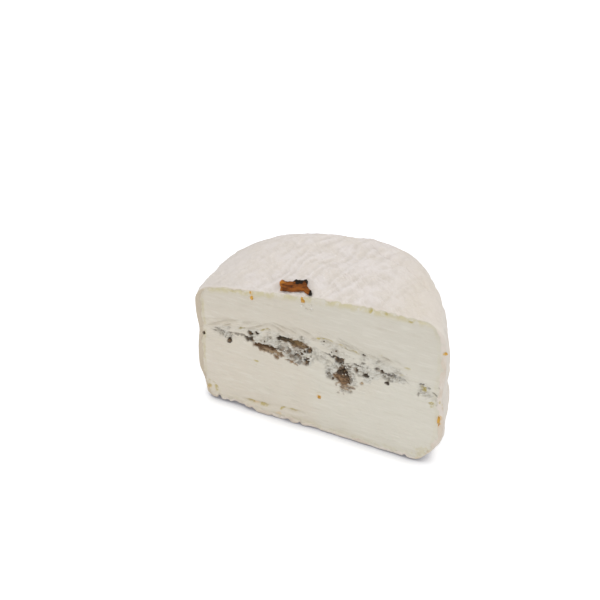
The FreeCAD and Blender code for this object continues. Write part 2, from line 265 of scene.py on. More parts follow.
def behind_cut(x, z):
    """How far the surface lies behind the cut's plane near its rounded edge."""
    radius = edge_round(z)
    short = np.clip(radius - skin_depth(stack(x, CUT, z)), 0, radius)
    return radius - np.sqrt(radius**2 - short**2)


def core_of(p):
    """The nearest point to p in a smaller D-shaped body inside the half wheel, clamped axis by axis."""
    x, y = p[..., 0], p[..., 1] - AXIS
    reach = np.maximum(np.hypot(x, y), 1e-6)
    share = np.minimum(1, (RADIUS - CORE) / reach)
    x, y = x * share, np.maximum(y * share + AXIS, CUT + CORE)
    return stack(x, y, np.clip(p[..., 2], CORE, top(x, y) - CORE))


def settle(p):
    """Moves points along lines from the core to the half wheel's surface, halving the interval each time."""
    core = core_of(p)
    far = core + 1.9 * (p - core)
    low, high = np.zeros(p.shape[:-1] + (1,)), np.ones(p.shape[:-1] + (1,))
    for _ in range(22):
        middle = (low + high) / 2
        within = depth(core + middle * (far - core))[..., None] > 0
        low, high = np.where(within, middle, low), np.where(within, high, middle)
    return core + low * (far - core)


def columns():
    """Directions in plan of a grid's columns, from a point inside: evenly along the cut, then round the back.

    Round the back they lie closer near the corners, by a sine of the share of the way.
    """
    half = math.sqrt(RADIUS**2 - CUT_OFFSET**2)
    along = np.linspace(-half, half, CUT_COLUMNS)
    corner = math.asin(CUT_OFFSET / RADIUS)
    share = np.linspace(0, 1, BACK_COLUMNS + 2)[1:-1]
    share = share - 0.55 * np.sin(2 * math.pi * share) / (2 * math.pi)
    turn = corner + (math.pi - 2 * corner) * share
    x = np.concatenate([along, RADIUS * np.cos(turn)])
    y = np.concatenate([np.full(along.shape, CUT), AXIS + RADIUS * np.sin(turn)])
    fan = stack(x, y - MIDDLE)
    return fan / np.linalg.norm(fan, axis=-1, keepdims=True)


def plan(fan, radius):
    """Points where rays from the plan's middle leave the D: the nearer of the cut and the circle, blended."""
    dx, dy = fan[:, 0], fan[:, 1]
    offset = MIDDLE - AXIS
    to_back = -offset * dy + np.sqrt((offset * dy) ** 2 - offset**2 + radius**2)
    to_cut = np.where(dy < -0.05, (CUT - MIDDLE) / np.minimum(dy, -0.05), 1e3)
    reach = soft_min(to_back, to_cut, 2.0)
    return stack(reach * dx, MIDDLE + reach * dy)


def wall(fan, z):
    """A wall of the wheel at heights z, rows by columns, not yet settled."""
    flat = plan(fan, side_radius(z))
    return stack(flat[..., 0], flat[..., 1], z)


def normals(p):
    """Unit normals of the half wheel's surface: minus the slope of the depth, by small differences."""
    step = 0.05
    slopes = [depth(p + step * axis) - depth(p - step * axis) for axis in np.eye(3)]
    n = -np.stack(slopes, axis=-1)
    return n / np.maximum(np.linalg.norm(n, axis=-1, keepdims=True), 1e-9)


# ---- relief ----

MAT_TURNS = ((-29.0, 0.55), (68.0, 1.0))  # angle to the cut and weight of the mat's two sets of strands
MAT_STEP = 3.1  # between its strands


def mat_marks(p):
    """Prints of a draining mat, from -1 to 1: two crossed sets of sine ridges, warped and faded by noise."""
    x, y = p[..., 0], p[..., 1]
    total = 0
    for k, (degrees, weight) in enumerate(MAT_TURNS):
        along, across = turned(x, y, math.radians(degrees))
        warp = 0.8 * ripple(11 + k, across / 5, along / 8, 0)
        wave = 1 - 2 * np.abs(np.sin(math.pi * (across / MAT_STEP + warp))) ** 0.7
        strength = ease(-0.35, 0.6, ripple(14 + k, across / 2.2, along / 8, 3))
        total = total + weight * strength * wave
    return total / 1.4


RIM_CREASE = (  # x and the distance behind the cut
    (4.9, 29.3), (10.2, 25.0), (13.9, 22.3), (17.6, 21.4), (22.8, 18.1), (26.3, 16.2), (29.4, 13.5),
)


def rind_relief(p, up):
    """Height of the rind's relief, and the mat's print in it.

    The top has the mat's print, wrinkles and a crease near the rim. The side has hanging folds, and a groove
    where the truffle layer is. The two are blended by how far the surface faces up.
    """
    x, y, z = np.moveaxis(p, -1, 0)
    turn = np.arctan2(x, y - AXIS) * RADIUS
    wrinkles = fractal(p, 2.4, 3, 22)
    near_rim = ease(2.0, 7.0, side_radius(z) - np.hypot(x, y - AXIS))
    marks = mat_marks(p) * (0.35 + 0.65 * near_rim)
    crease = np.interp(x, *zip(*RIM_CREASE)) + 0.5 * ripple(29, x / 2.5, 0, 0) - (y - CUT)
    crease = hump(crease, 0, 0.8) * ease(3, 9, x) * ease(31, 27, x)
    fine = 1 - 2 * np.abs(ripple(30, (x + y) / 1.1, (y - x) / 3.2, 0))
    marks += 0.4 * fine
    on_top = 0.21 * marks + 0.25 * wrinkles - 0.6 * crease
    folds = np.abs(ripple(25, turn / 5.2, z / 26.0, 0))
    on_side = 1.1 * folds + 0.3 * ripple(27, turn / 1.7, z / 8.0, 4) - 0.7
    waist = z - layer_face(x, y, False) - 1.0 - 0.8 * noise(p, 6.0, 33)
    on_side = on_side + 0.14 * wrinkles - 0.3 * hump(waist, 0, 1.1)
    share = ease(0.25, 0.8, np.abs(up))
    height = 0.4 * fractal(p, 13.0, 2, 20) + share * on_top + (1 - share) * on_side
    return height, share * marks + (1 - share) * (folds - 0.5)


# What shows on the cut, all in millimetres from the wheel's axis and the floor:
# x, z, half the width, half the height, tilt in degrees, strength.
TRUFFLE_SPOTS = (
    (-37.5, 26.6, 0.5, 0.8, 0, 0.9), (-31.8, 29.4, 1.8, 0.35, -20, 0.6), (-28, 29.6, 1.4, 0.3, 15, 0.6),
    (-28.6, 26.3, 0.9, 1.2, -20, 1), (-25.2, 29.9, 2.2, 0.5, 12, 0.55), (-34, 28.9, 1.3, 0.35, -12, 0.6),
    (-21.3, 31.7, 1, 0.9, 0, 1), (-18.9, 32.3, 1, 0.7, 20, 1), (-21.7, 29.5, 1.4, 1.5, -15, 1),
    (-11.6, 32.5, 0.9, 0.6, 0, 1), (-8.2, 33, 3.2, 0.5, -4, 0.9), (-9.5, 30.6, 1.6, 1.2, 30, 0.35),
    (-4.3, 29.2, 0.7, 0.4, 0, 0.9), (-1.6, 31.2, 1, 0.8, 10, 0.9), (-2.6, 26.6, 0.8, 1.8, 8, 1),
    (-2.2, 28.1, 0.9, 0.45, 10, 0.9), (-5, 25.5, 0.9, 0.7, 0, 0.6), (-14.5, 28.1, 4.2, 0.45, 2, 0.9),
    (-6.6, 27.6, 2.6, 2, -20, 0.45), (-7.9, 29.8, 0.8, 0.4, -20, 0.8), (-4.6, 26.9, 0.5, 0.5, 0, 0.8),
    (-3.3, 30.2, 0.5, 0.35, 0, 0.9), (-1.2, 29.4, 0.4, 0.6, 0, 0.8), (2.2, 30.2, 1.6, 0.5, -10, 0.35),
    (4.4, 32, 1.3, 0.4, -15, 0.55), (7.4, 31.5, 2.5, 0.8, -8, 1), (8.1, 30.5, 1.4, 1.2, -8, 1),
    (5.9, 22.8, 0.5, 0.8, -10, 1), (8.9, 26.9, 1, 0.9, -20, 0.9), (10.4, 24.5, 1.5, 1.5, -35, 0.65),
    (11.8, 21.4, 1.4, 0.4, 5, 0.6), (13.3, 28.8, 0.5, 0.9, 15, 0.9), (16.1, 27.9, 1.1, 0.8, -15, 1),
    (10.6, 30.5, 1.1, 0.3, 20, 0.5), (13.8, 30.9, 1.8, 0.4, -10, 0.7), (15.2, 32.2, 0.8, 0.5, 40, 0.5),
    (19.6, 31.6, 1, 0.5, 25, 0.7), (21.2, 31.2, 0.6, 0.8, 0, 0.9), (22.8, 30.6, 1.5, 0.5, -20, 0.8),
    (24.9, 30.6, 0.9, 0.8, 40, 0.6), (22.9, 27.6, 0.9, 0.8, 0, 1), (33, 30.7, 0.6, 0.4, 0, 0.7),
    (32.4, 26.8, 0.3, 0.9, 0, 0.5), (35.3, 30.2, 0.5, 0.35, 0, 0.5), (37.2, 28.3, 1.1, 0.25, -35, 0.5),
    (40.2, 28.2, 0.3, 0.5, 0, 0.8),
)
BROWN_SPOTS = (
    (-19.3, 27.6, 1.3, 0.7, -5, 0.9), (-14.9, 27, 4, 1.3, -8, 0.75), (-12.7, 25.5, 0.9, 1.6, 30, 1),
    (-6.8, 32.6, 3.6, 0.9, -10, 0.8), (-2.9, 33, 1.5, 0.5, -15, 0.45), (-5.6, 30.2, 2.2, 0.8, -25, 0.4),
    (-7.5, 25, 1.9, 1, -15, 1), (-9.6, 28.8, 1.8, 1, -15, 0.6), (-5.3, 28, 1.3, 1, 0, 0.6),
    (-3.6, 25.6, 1.2, 0.6, -10, 0.6), (8, 30.9, 1.5, 0.9, -10, 1), (11.9, 21.6, 1.7, 0.6, 0, 0.7),
    (10.9, 24.8, 1.3, 1.6, 15, 0.5), (13.2, 28.6, 0.8, 1.1, 15, 0.5), (20.8, 31.2, 1.8, 0.5, -10, 0.5),
    (-20.9, 29.3, 1.4, 0.7, -15, 0.7), (-1.5, 30.9, 1.2, 0.7, 0, 0.5), (-7.6, 27, 1, 0.8, 20, 0.5),
    (7.2, 23.9, 1.4, 1.6, 10, 1), (8.7, 26.2, 1.3, 1.3, 0, 0.9), (9.1, 20.5, 1.7, 0.45, -15, 0.9),
    (15, 24.5, 0.6, 1, -15, 0.6), (7.9, 18.2, 0.5, 0.4, 0, 0.4),
)
GOLD_SPOTS = (
    (-23.7, 32.8, 1.3, 0.32, 25, 1), (-16.2, 34.7, 1.6, 0.3, 34, 0.8), (-9.8, 34.8, 0.6, 0.3, 0, 0.6),
    (1.3, 36.9, 1.6, 0.45, 12, 1), (4.4, 37.2, 1.5, 0.35, -8, 0.8), (9, 36.5, 2.2, 0.38, -10, 1),
    (12.6, 35.7, 1.2, 0.3, -25, 0.8), (28.5, 35.2, 1, 0.35, 6, 0.6), (20.3, 37, 0.5, 0.35, 20, 0.5),
    (-19.5, 21.1, 1.1, 0.45, 5, 0.9), (-19.6, 19.6, 0.5, 0.25, 0, 0.3), (33.9, 29.4, 1.1, 0.9, -20, 1),
    (36.4, 24.3, 0.8, 1.2, 25, 1), (27, 31.9, 0.8, 0.6, 0, 0.35), (-35.7, 6.6, 1.8, 0.3, -18, 0.8),
    (-34.4, 4.4, 0.8, 1.8, 0, 0.9), (-37, 4.3, 0.8, 1.3, 0, 0.7), (-22, 3.6, 2, 0.45, -3, 0.9),
    (-17.5, 3.6, 2.6, 0.4, 0, 0.8), (-10.6, 4.6, 1.8, 0.45, 30, 0.9), (-6.9, 5.2, 2.8, 0.45, 4, 0.9),
    (-29.3, 46.1, 1, 0.35, 10, 0.5), (-26.8, 45.7, 1.2, 0.35, 10, 0.4), (-23, 46.2, 1.5, 0.5, 5, 0.4),
    (39.9, 24.4, 0.3, 0.9, 0, 0.7), (38.8, 26.3, 0.3, 0.8, 10, 0.7), (35.5, 4, 4.5, 2.6, 45, 0.28),
    (39.6, 25.6, 0.4, 0.7, 0, 0.5), (38.4, 43.9, 0.7, 0.9, 0, 0.6), (16.5, 51.9, 0.5, 1.1, 0, 0.9),
    (21, 51.9, 0.7, 0.5, 0, 0.7), (28.2, 51.4, 0.8, 0.5, 0, 0.9), (1.3, 15.6, 1, 0.3, 20, 0.3),
)
AMBER_SPOTS = (
    (39.3, 18.9, 0.8, 3, -4, 1), (1.8, 14.3, 1, 0.7, 0, 0.7), (-3.8, 49.2, 0.8, 1, 0, 0.6),
    (-20.3, 46, 0.6, 1.4, 15, 0.5), (40, 26, 0.4, 0.7, 0, 0.6), (15.2, 24.2, 0.4, 0.9, -15, 0.6),
    (-37.2, 4.6, 0.8, 1.4, 0, 0.55), (-12.3, 2.3, 1.6, 0.9, 0, 0.35), (-20.5, 3.5, 1.6, 0.5, 0, 0.4),
)


def spots_at(x, z, spots, seed, grain, soft):
    """How much of any spot lies at points of the cut: ellipses with ragged edges, the strongest counting."""
    ragged = 0.8 * fractal(stack(x, 0, z), grain, 3, seed)
    most = np.zeros(x.shape)
    for middle, height, wide, high, tilt, strength in spots:
        along, across = turned(x - middle, z - height, math.radians(tilt))
        room = 1 - (along / wide) ** 2 - (across / high) ** 2
        near = room > -1.5
        most[near] = np.maximum(most[near], strength * ease(-0.15, soft, room[near] + ragged[near]))
    return most


CRUMBLY_PATCHES = (  # the same six numbers for the patches where the cut crumbled
    (-30.8, 28.8, 3.4, 1.5, -10, 0.9), (-20.2, 30.6, 2.6, 2.2, -10, 0.7), (-13.5, 30.6, 5, 2.6, -8, 0.9),
    (-5.5, 28.8, 5.2, 4.2, -10, 1), (3, 30.6, 5.5, 2.6, -20, 0.55), (9, 25.4, 5, 6, 10, 1),
    (15.5, 29.2, 5, 3.4, -10, 0.8), (22.5, 30.6, 4.8, 1.8, -10, 1), (28.5, 29.6, 2.6, 1.3, -15, 0.6),
    (34, 28.6, 3.2, 2.4, -40, 0.9), (37.4, 26.6, 1.3, 3.2, 20, 0.8),
)
SHAVINGS = (  # name, middle x and z, half sizes, tilt in degrees, where it pales
    ("1", -15.2, 27.3, (4.6, 1.3, 1.05), -9, (0.3, -0.9)), ("2", -6.8, 32.8, (4.6, 1.2, 1.0), -5, (0.6, 0.0)),
    ("3", 9.3, 24.2, (2.0, 1.4, 2.9), 14, (-0.3, -0.5)),
)


def seam_mask(x, z):
    """How crumbly the cut is, from 0 to 1: in patches, and a little along under the layer's upper face."""
    under = layer_face(x, CUT, True) + 0.5 * ripple(41, x / 2.5, 0, 1) - z
    band = ease(-0.3, 0.4, under) * ease(6.0, 1.5, under) * ease(-36, -31, x)
    band = band * ease(31, 25, x) * ease(-0.6, 0.3, fractal(stack(x, 0, z), 3.0, 2, 42))
    return np.maximum(spots_at(x, z, CRUMBLY_PATCHES, 40, 2.4, 0.7), 0.55 * band)


def streaks(x, z, turn, length, width, seed):
    """Ridges that run at an angle to the floor: noise stretched along it, from -1 to 1."""
    along, across = turned(x, z, turn)
    return ripple(seed, along / length, 0, across / width)


def cut_marks(x, z):
    """What the knife and the layer left on the cut, and shade painted into its hollows: its relief, and how
    much of each mark lies there.

    Each is a sum or the larger of layers of noise and spots, faded in and out by smooth steps.
    """
    flat = stack(x, 0, z)
    # the knife's smears, then wrinkles over the seam
    smear = 0.10 * streaks(x, z, -0.05, 8.0, 0.7, 50) + 0.08 * streaks(x, z, 0.08, 3.0, 0.4, 51)
    relief = smear + 0.2 * noise(flat, 15.0, 52) + 0.05 * fractal(flat, 1.4, 2, 53)
    crumbly = seam_mask(x, z)
    high = layer_face(x, CUT, True)
    beside = ease(-1.0, 0.3, z - high) * ease(4.5, 1.0, z - high)
    rising = ease(-12, -18, x)
    wrinkled = rising * streaks(x, z, 0.40, 3.5, 0.55, 56)
    wrinkled += (1 - rising) * streaks(x, z, -0.30, 3.5, 0.50, 57)
    beside = beside * ease(-38, -32, x) * ease(30, 22, x)
    relief += 0.7 * beside * wrinkled

    # torn crumb, its loose crumbs, and shade painted into its hollows
    near, after, luck = grains(flat, 1.3, 60)
    small, _, small_luck = grains(flat, 0.6, 62)
    crumbs = 0.35 * (luck - 0.4) * ease(0.0, 0.15, after - near) + 0.12 * (0.5 - small)
    rough = fractal(flat, 2.2, 4, 64)
    torn = 1 - 2 * np.abs(fractal(stack(x, 0, z * 1.4), 1.1, 3, 65))
    strokes = streaks(x, z, 0.45, 1.8, 0.35, 58)
    relief += crumbly * (1.2 * crumbs + 0.45 * rough + 0.28 * torn + 0.32 * strokes - 0.3)
    # painted shade: the colour darkens where the torn crumb, its strokes and the wrinkles beside the seam lie
    # low
    hollow_shade_and_stain = crumbly * ease(0.1, -0.7, torn + 0.6 * rough)
    hollow_shade_and_stain = np.maximum(hollow_shade_and_stain, crumbly * ease(-0.35, -0.7, strokes))
    hollow_shade_and_stain = np.maximum(hollow_shade_and_stain, 0.5 * beside * ease(-0.1, -0.7, wrinkled))

    # pockets of the shavings, and the stains round them and elsewhere
    shavings = [(a, b, half[0], half[2], tilt, 1.0) for _, a, b, half, tilt, _ in SHAVINGS]
    bare = spots_at(x, z, shavings, 72, 1.2, 0.5)
    stained = [(a, b - 0.3, 1.25 * wide, 1.6 * high, tilt, 0.9) for a, b, wide, high, tilt, _ in shavings]
    stained = spots_at(x, z, stained, 73, 1.2, 0.9)
    truffle = spots_at(x, z, TRUFFLE_SPOTS, 66, 0.8, 0.55)
    brown = np.maximum(spots_at(x, z, BROWN_SPOTS, 67, 0.9, 0.8), stained)
    gold = spots_at(x, z, GOLD_SPOTS, 68, 0.7, 1.3)
    amber = spots_at(x, z, AMBER_SPOTS, 69, 0.7, 1.3)
    # darker, in the truffle's tone, where the torn relief lies low, broken up by noise
    low_relief_dark = crumbly * ease(0.1, 0.8, -0.8 * rough + 0.5 * fractal(flat, 0.7, 2, 70))
    chips = crumbly * ease(0.93, 0.96, small_luck) * ease(0.5, 0.3, small)
    covered = ease(0.86, 0.92, luck) * ease(0.62, 0.45, near) * crumbly
    truffle = np.maximum(truffle, np.maximum(0.5 * low_relief_dark, 0.7 * chips)) * (1 - 0.85 * covered)
    brown *= 1 - 0.85 * covered
    sunk = np.maximum(truffle, brown - stained)
    relief = relief - 0.6 * sunk * (0.3 + 0.7 * ease(-0.3, 0.4, rough)) + 0.25 * covered - 0.3 * gold
    relief -= 1.3 * bare * (1 - covered)
    return relief, {"crumbly": crumbly, "hollow_shade_and_stain": hollow_shade_and_stain, "truffle": truffle, "brown": brown, "gold": gold,
                    "amber": amber}


def finish_surface(p):
    """Pushes a grid of the surface out along its normals by the relief, and says what lies where.

    Returns the moved points and marks for the material: the share of the rind's thickness that lies over a
    point, whether it is on the cut (section) or round the side (outer, which the material whitens as painted
    light), the tint under the rind, the mat's print (which the material paints as shade in its grooves and
    highlight on its ridges), and the marks of the cut, shade painted into its hollows among them.
    """
    n = normals(p)
    x, y, z = np.moveaxis(p, -1, 0)
    front = y < CUT + 3
    cut_relief = np.zeros(x.shape)
    cut_relief[front], found = cut_marks(x[front], z[front])

    # how the rind shows on the cut
    by_side = ease(3.5, 0.5, side_radius(z) - np.hypot(x, y - AXIS))
    thick = 0.5 + 0.6 * by_side + 0.7 * ease(4, 0, z) + by_side * ease(25, 36, np.abs(x))
    thick += 0.9 * by_side * ease(-30, -37, x)
    ragged = 0.65 * fractal(p, 1.8, 3, 80) + 0.45 * ripple(81, x / 0.9, 0, z / 3.0)
    facing = ease(0.55, 0.9, -n[..., 1]) * ease(3.0, 1.0, y - CUT)
    share = skin_depth(p) / thick + ragged * facing
    is_rind = ease(1.3, 0.7, share)
    tinted = ease(0.9, 1.2, share) * ease(5.5, 1.6, share) * facing
    tinted = tinted * (1 - 0.9 * by_side) * (0.3 + 0.7 * ease(5, 20, z))
    tinted *= 1 - 0.6 * ease(29, 35, x)
    paste = (1 - is_rind) * facing

    # relief, with lumps along the foot and a flap that curls over it
    rind_out, print_depth = rind_relief(p, n[..., 2])
    out = paste * cut_relief + (1 - facing) * rind_out + 0.32 * is_rind * facing
    low_edge = hump(z, 0, 2.6) * (0.2 + 0.8 * ease(4, -10, x)) * facing
    out += low_edge * (0.8 * np.abs(ripple(84, x / 3.2, z / 3.0, 2)) + 0.1)
    flap = z - 3.9 - 0.09 * (x + 14) - 0.4 * ripple(88, x / 2.2, 0, 0)
    curled = facing * ease(-26, -22, x) * ease(-1, -5, x)
    out += curled * (0.55 * ease(0.3, -0.6, flap) * ease(-4, -1, flap))
    out -= curled * 0.35 * hump(flap, 0.4, 0.35)
    moved = p + out[..., None] * n
    lift = low_edge * 0.8 * ease(-0.3, 0.9, fractal(stack(x / 5.5, 0, 8), 1.0, 2, 86))
    moved[..., 2] = np.maximum(moved[..., 2] + lift, 0)

    # marks of the cut, then specks and stains along the layer round the side
    marks = {key: np.zeros(x.shape) for key in found}
    for key, values in found.items():
        marks[key][front] = values * facing[front]
    marks["crumbly"] *= paste
    outer = ease(0.5, 0.9, np.hypot(n[..., 0], n[..., 1])) * (1 - facing)
    belt = outer * ease(4, 10, y - CUT) * hump(z - layer_face(x, y, False), 0.5, 1.9)
    bits = fractal(p, 1.5, 3, 89) + 0.5 * noise(p, 7.0, 90)
    marks["truffle"] = np.maximum(marks["truffle"], 0.8 * belt * ease(0.55, 1.0, bits))
    marks["amber"] = np.maximum(marks["amber"], belt * ease(0.45, 0.9, -bits))
    marks["hollow_shade_and_stain"] = np.maximum(marks["hollow_shade_and_stain"], 0.5 * belt * ease(-0.4, 0.6, noise(p, 4.0, 91)))
    marks.update({"share": share, "section": facing, "tinted": tinted, "outer": outer, "print": print_depth})
    return moved, marks


# ---- meshes ----

def add_mesh(name, points, faces, marks=None, smooth=True):
    """A mesh object from points in millimetres and faces, with one number a point for each mark."""
    mesh = bpy.data.meshes.new(name)
    mesh.from_pydata((np.asarray(points, float) * MM).tolist(), [], faces)
    mesh.polygons.foreach_set("use_smooth", np.broadcast_to(smooth, len(mesh.polygons)))
    for mark, values in (marks or {}).items():
        layer = mesh.attributes.new(mark, "FLOAT", "POINT")
        layer.data.foreach_set("value", np.asarray(values, np.float32).ravel())
    mesh.update()
    piece = bpy.data.objects.new(name, mesh)
    bpy.context.collection.objects.link(piece)
    return piece


def ring_faces(rows, count):
    """Faces of a closed grid: quads between rings of count points, and a fan to a pole at each end."""
    ring = np.arange(count)
    after = np.roll(ring, -1)
    start = 1 + count * np.arange(rows - 1)[:, None]
    quads = np.stack([start + ring, start + after, start + count + after, start + count + ring], axis=-1)
    last = 1 + count * (rows - 1)
    foot = np.stack([np.zeros_like(ring), after + 1, ring + 1], axis=-1)
    cap = np.stack([np.full_like(ring, rows * count + 1), last + ring, last + after], axis=-1)
    return quads.reshape(-1, 4).tolist() + foot.tolist() + cap.tolist()


def closed_piece(name, grid, marks, first_pole, last_pole):
    """A closed piece from rings of points, bottom ring first, with a pole under and over its middle."""
    rows, count = grid.shape[:2]
    points = np.concatenate([[first_pole], grid.reshape(-1, 3), [last_pole]])
    padded = {k: np.concatenate([v[:1, 0], v.ravel(), v[-1:, 0]]) for k, v in marks.items()}
    return add_mesh(name, points, ring_faces(rows, count), padded)


def rings_inward(edge, shares, height):
    """Rings between a pole at the plan's middle and an edge ring, at the heights a function gives."""
    middle = np.array([0.0, MIDDLE])
    flat = middle + shares[:, None, None] * (edge[None, :, :2] - middle)
    return stack(flat[..., 0], flat[..., 1], height(flat[..., 0], flat[..., 1]))


INNER = np.array([0.3, 0.8, 0.97])  # rings that close a piece where another lies on it
HAIR = 0.015  # how deep a piece's last row lies under its neighbour


def hidden_rings(edge, upper):
    """Rings of a face that touches the truffle layer, from the middle out."""
    return rings_inward(edge, INNER, lambda x, y: layer_face(x, y, upper))


def face_at_wall(fan, upper):
    """Height at which the wall meets a face of the layer, found by a few rounds of substitution."""
    z = np.full(len(fan), LAYER_LOW + LAYER_DIP)
    for _ in range(4):
        edge = settle(wall(fan, z))
        z = layer_face(edge[:, 0], edge[:, 1], upper)
    return z


def wall_rows(fan, low, high, shares):
    """Rows of wall at shares of the way from the height low to the height high of each column."""
    return wall(fan, low + shares[:, None] * (high - low))


def piece_from(name, under, outside, over, poles):
    """A closed piece: hidden rings under it, its settled and finished outside, hidden rings over it.

    Where a neighbour carries on, the last row lies a hair under the neighbour's surface, so that the shading
    runs on over the joint.
    """
    moved, marks = finish_surface(settle(outside))
    for end, face in ((0, under), (-1, over)):
        if face is not None:
            inward = [0, MIDDLE] - moved[end, :, :2]
            moved[end, :, :2] += HAIR * inward / np.linalg.norm(inward, axis=-1, keepdims=True)
    parts = [moved]
    if under is not None:
        parts.insert(0, hidden_rings(moved[0], under))
    if over is not None:
        parts.append(hidden_rings(moved[-1], over)[::-1])
    more = [len(INNER) * (face is not None) for face in (under, over)]
    marks = {key: np.pad(values, (more, (0, 0)), "edge") for key, values in marks.items()}
    poles = [moved[end].mean(axis=0) if pole is None else pole for end, pole in zip((0, -1), poles)]
    return closed_piece(name, np.concatenate(parts), marks, *poles)


def middle_pole(upper):
    """The middle of the layer's lower or upper face."""
    return [0, MIDDLE, layer_face(0, MIDDLE, upper)]


def lower_paste():
    """Underside, foot and wall up to the truffle layer, as rings from the middle out and up."""
    fan = columns()
    high = face_at_wall(fan, False)
    side = wall_rows(fan, 0 * high, high, np.append(np.linspace(0, 1, 109), 1.01))
    under = rings_inward(side[0], np.linspace(0.1, 0.97, 30), lambda x, y: 0 * x)
    return piece_from("lower_half", None, np.concatenate([under, side]), False, (None, middle_pole(False)))


def middle_layer():
    """The truffle layer: its wall in fine rows, closed by its two lens faces inside."""
    fan = columns()
    shares = np.concatenate([[-0.02], np.linspace(0, 1, 100), [1.02]])
    side = wall_rows(fan, face_at_wall(fan, False), face_at_wall(fan, True), shares)
    return piece_from("truffle_band", False, side, True, (middle_pole(False), middle_pole(True)))


def upper_paste():
    """Wall above the truffle layer, the rolled rim and the dome, as rings up and then inwards."""
    fan = columns()
    low = face_at_wall(fan, True)
    flat = plan(fan, side_radius(np.full(len(fan), HEIGHT - RIM_ROUND)))
    shares = np.append(-0.015, np.linspace(0, 1, 65))
    side = wall_rows(fan, low, top(flat[:, 0], flat[:, 1]), shares)
    rings = rings_inward(side[-1], np.linspace(0.99, 0.015, 96), top)
    return piece_from("upper_half", True, np.concatenate([side, rings]), None, (middle_pole(True), None))


SLICE_LEFT, SLICE_RIGHT = -12.7, -1.2  # x of the slice's two ends
SLICE_BACK = (  # x and the distance behind the cut along the slice's back edge
    (-12.7, 3.9), (-12.4, 4.7), (-10.8, 4.1), (-9.0, 4.5), (-8.2, 5.3), (-6.5, 5.1), (-5.1, 5.9), (-4.4, 5.2),
    (-4.0, 3.5), (-3.0, 2.4), (-1.7, 1.4), (-1.2, 0.5),
)
SLICE_FRONT = (  # and along its front edge
    (-12.7, 3.5), (-12.1, 2.4), (-11.5, 1.8), (-11.2, 0.4), (-8.8, 0.4), (-6.4, 0.7), (-4.2, 1.3),
    (-2.7, 0.3), (-1.7, -0.1), (-1.2, 0.2),
)


def dried_slice():
    """The dried truffle slice: flat rings carried along x between its two ragged edges, over the dome."""
    x = np.linspace(SLICE_LEFT, SLICE_RIGHT, 150)[:, None]
    back = np.interp(x, *zip(*SLICE_BACK)) + 0.16 * ripple(90, x / 0.45, 0, 0)
    front = np.interp(x, *zip(*SLICE_FRONT)) + 0.14 * ripple(91, x / 0.5, 0, 5)
    turn = np.linspace(0, 2 * math.pi, 72, endpoint=False)[None, :]
    across = np.sign(np.cos(turn)) * np.abs(np.cos(turn)) ** 0.55
    y = CUT + 0.45 + (back + front) / 2 + (back - front) / 2 * across
    thick = 0.32 * np.sign(np.sin(turn)) * np.abs(np.sin(turn)) ** 0.7
    p = stack(x, y, top(x, y) + 0.24 + thick)
    edge = np.minimum(back + 0.45 - (y - CUT), 9)
    crust = ease(1.9, 1.0, edge + 0.5 * noise(stack(x, y, 0), 0.9, 92))
    crust = crust * ease(-8.9, -8.2, x) * ease(-3.9, -4.4, x)
    tip = ease(-2.3, -1.7, x + 0.3 * noise(stack(x, y, 0), 0.6, 93))
    crust = np.maximum(crust, tip)
    near, _, _ = grains(stack(x, y, 0), 0.75, 94)
    fibres = ripple(95, x / 2.2, y / 0.35, 0)
    upper = ease(-0.1, 0.4, thick)
    rise = 0.10 * fibres + 0.12 * fractal(p, 1.1, 2, 96) + crust * (0.75 * (0.6 - near) + 0.15)
    p[..., 2] += upper * rise + 0.15 * ease(-11.5, SLICE_LEFT, x)
    p[..., 0] -= 0.25
    ends = [p[0].mean(axis=0), p[-1].mean(axis=0)]
    marks = {"crust": crust + 0 * turn, "paler": ease(-10.6, -12.4, x + 0.8 * fibres) + 0 * turn}
    return closed_piece("dried_slice", p[::-1], {k: v[::-1] for k, v in marks.items()}, ends[1], ends[0])


def lump_grid(columns_round, rows, seed, ragged, size):
    """Directions over a ball in rings from pole to pole, stretched by noise to a ragged lump of radius 1."""
    up = np.linspace(0, math.pi, rows + 2)[1:-1, None]
    turn = np.linspace(0, 2 * math.pi, columns_round, endpoint=False)[None, :]
    ball = stack(np.sin(up) * np.cos(turn), np.sin(up) * np.sin(turn), -np.cos(up) + 0 * turn)
    bumps = fractal(ball * size + (SEED + seed), 1.0, 3, seed)
    boxy = 1 / np.maximum((np.abs(ball) ** 5).sum(axis=-1, keepdims=True) ** (1 / 5), 0.5)
    return ball * boxy * (1 + ragged * bumps[..., None])


def shaving(number, x, z, half, tilt, pales):
    """A truffle shaving: a ragged boxy lump, tilted, that lies just under the surface of the cut."""
    grid = lump_grid(110, 70, 100 + int(number), 0.20, 3.0) * np.array(half)
    along, up = turned(grid[..., 0], grid[..., 2], -math.radians(tilt))
    spun = stack(along, grid[..., 1], up) + np.array([x, CUT + half[1] + 0.05, z])
    ends = [2 * spun[end].mean(axis=0) - spun[end + step].mean(axis=0) for end, step in ((0, 1), (-1, -1))]
    across, up = (spun[..., 0] - x) / half[0], (spun[..., 2] - z) / half[2]
    paler = 0.45 + 0.5 * (pales[0] * across + pales[1] * up) + 0.3 * fractal(spun, 2.0, 3, 110)
    return closed_piece("shaving_" + number, spun, {"paler": paler}, *ends)


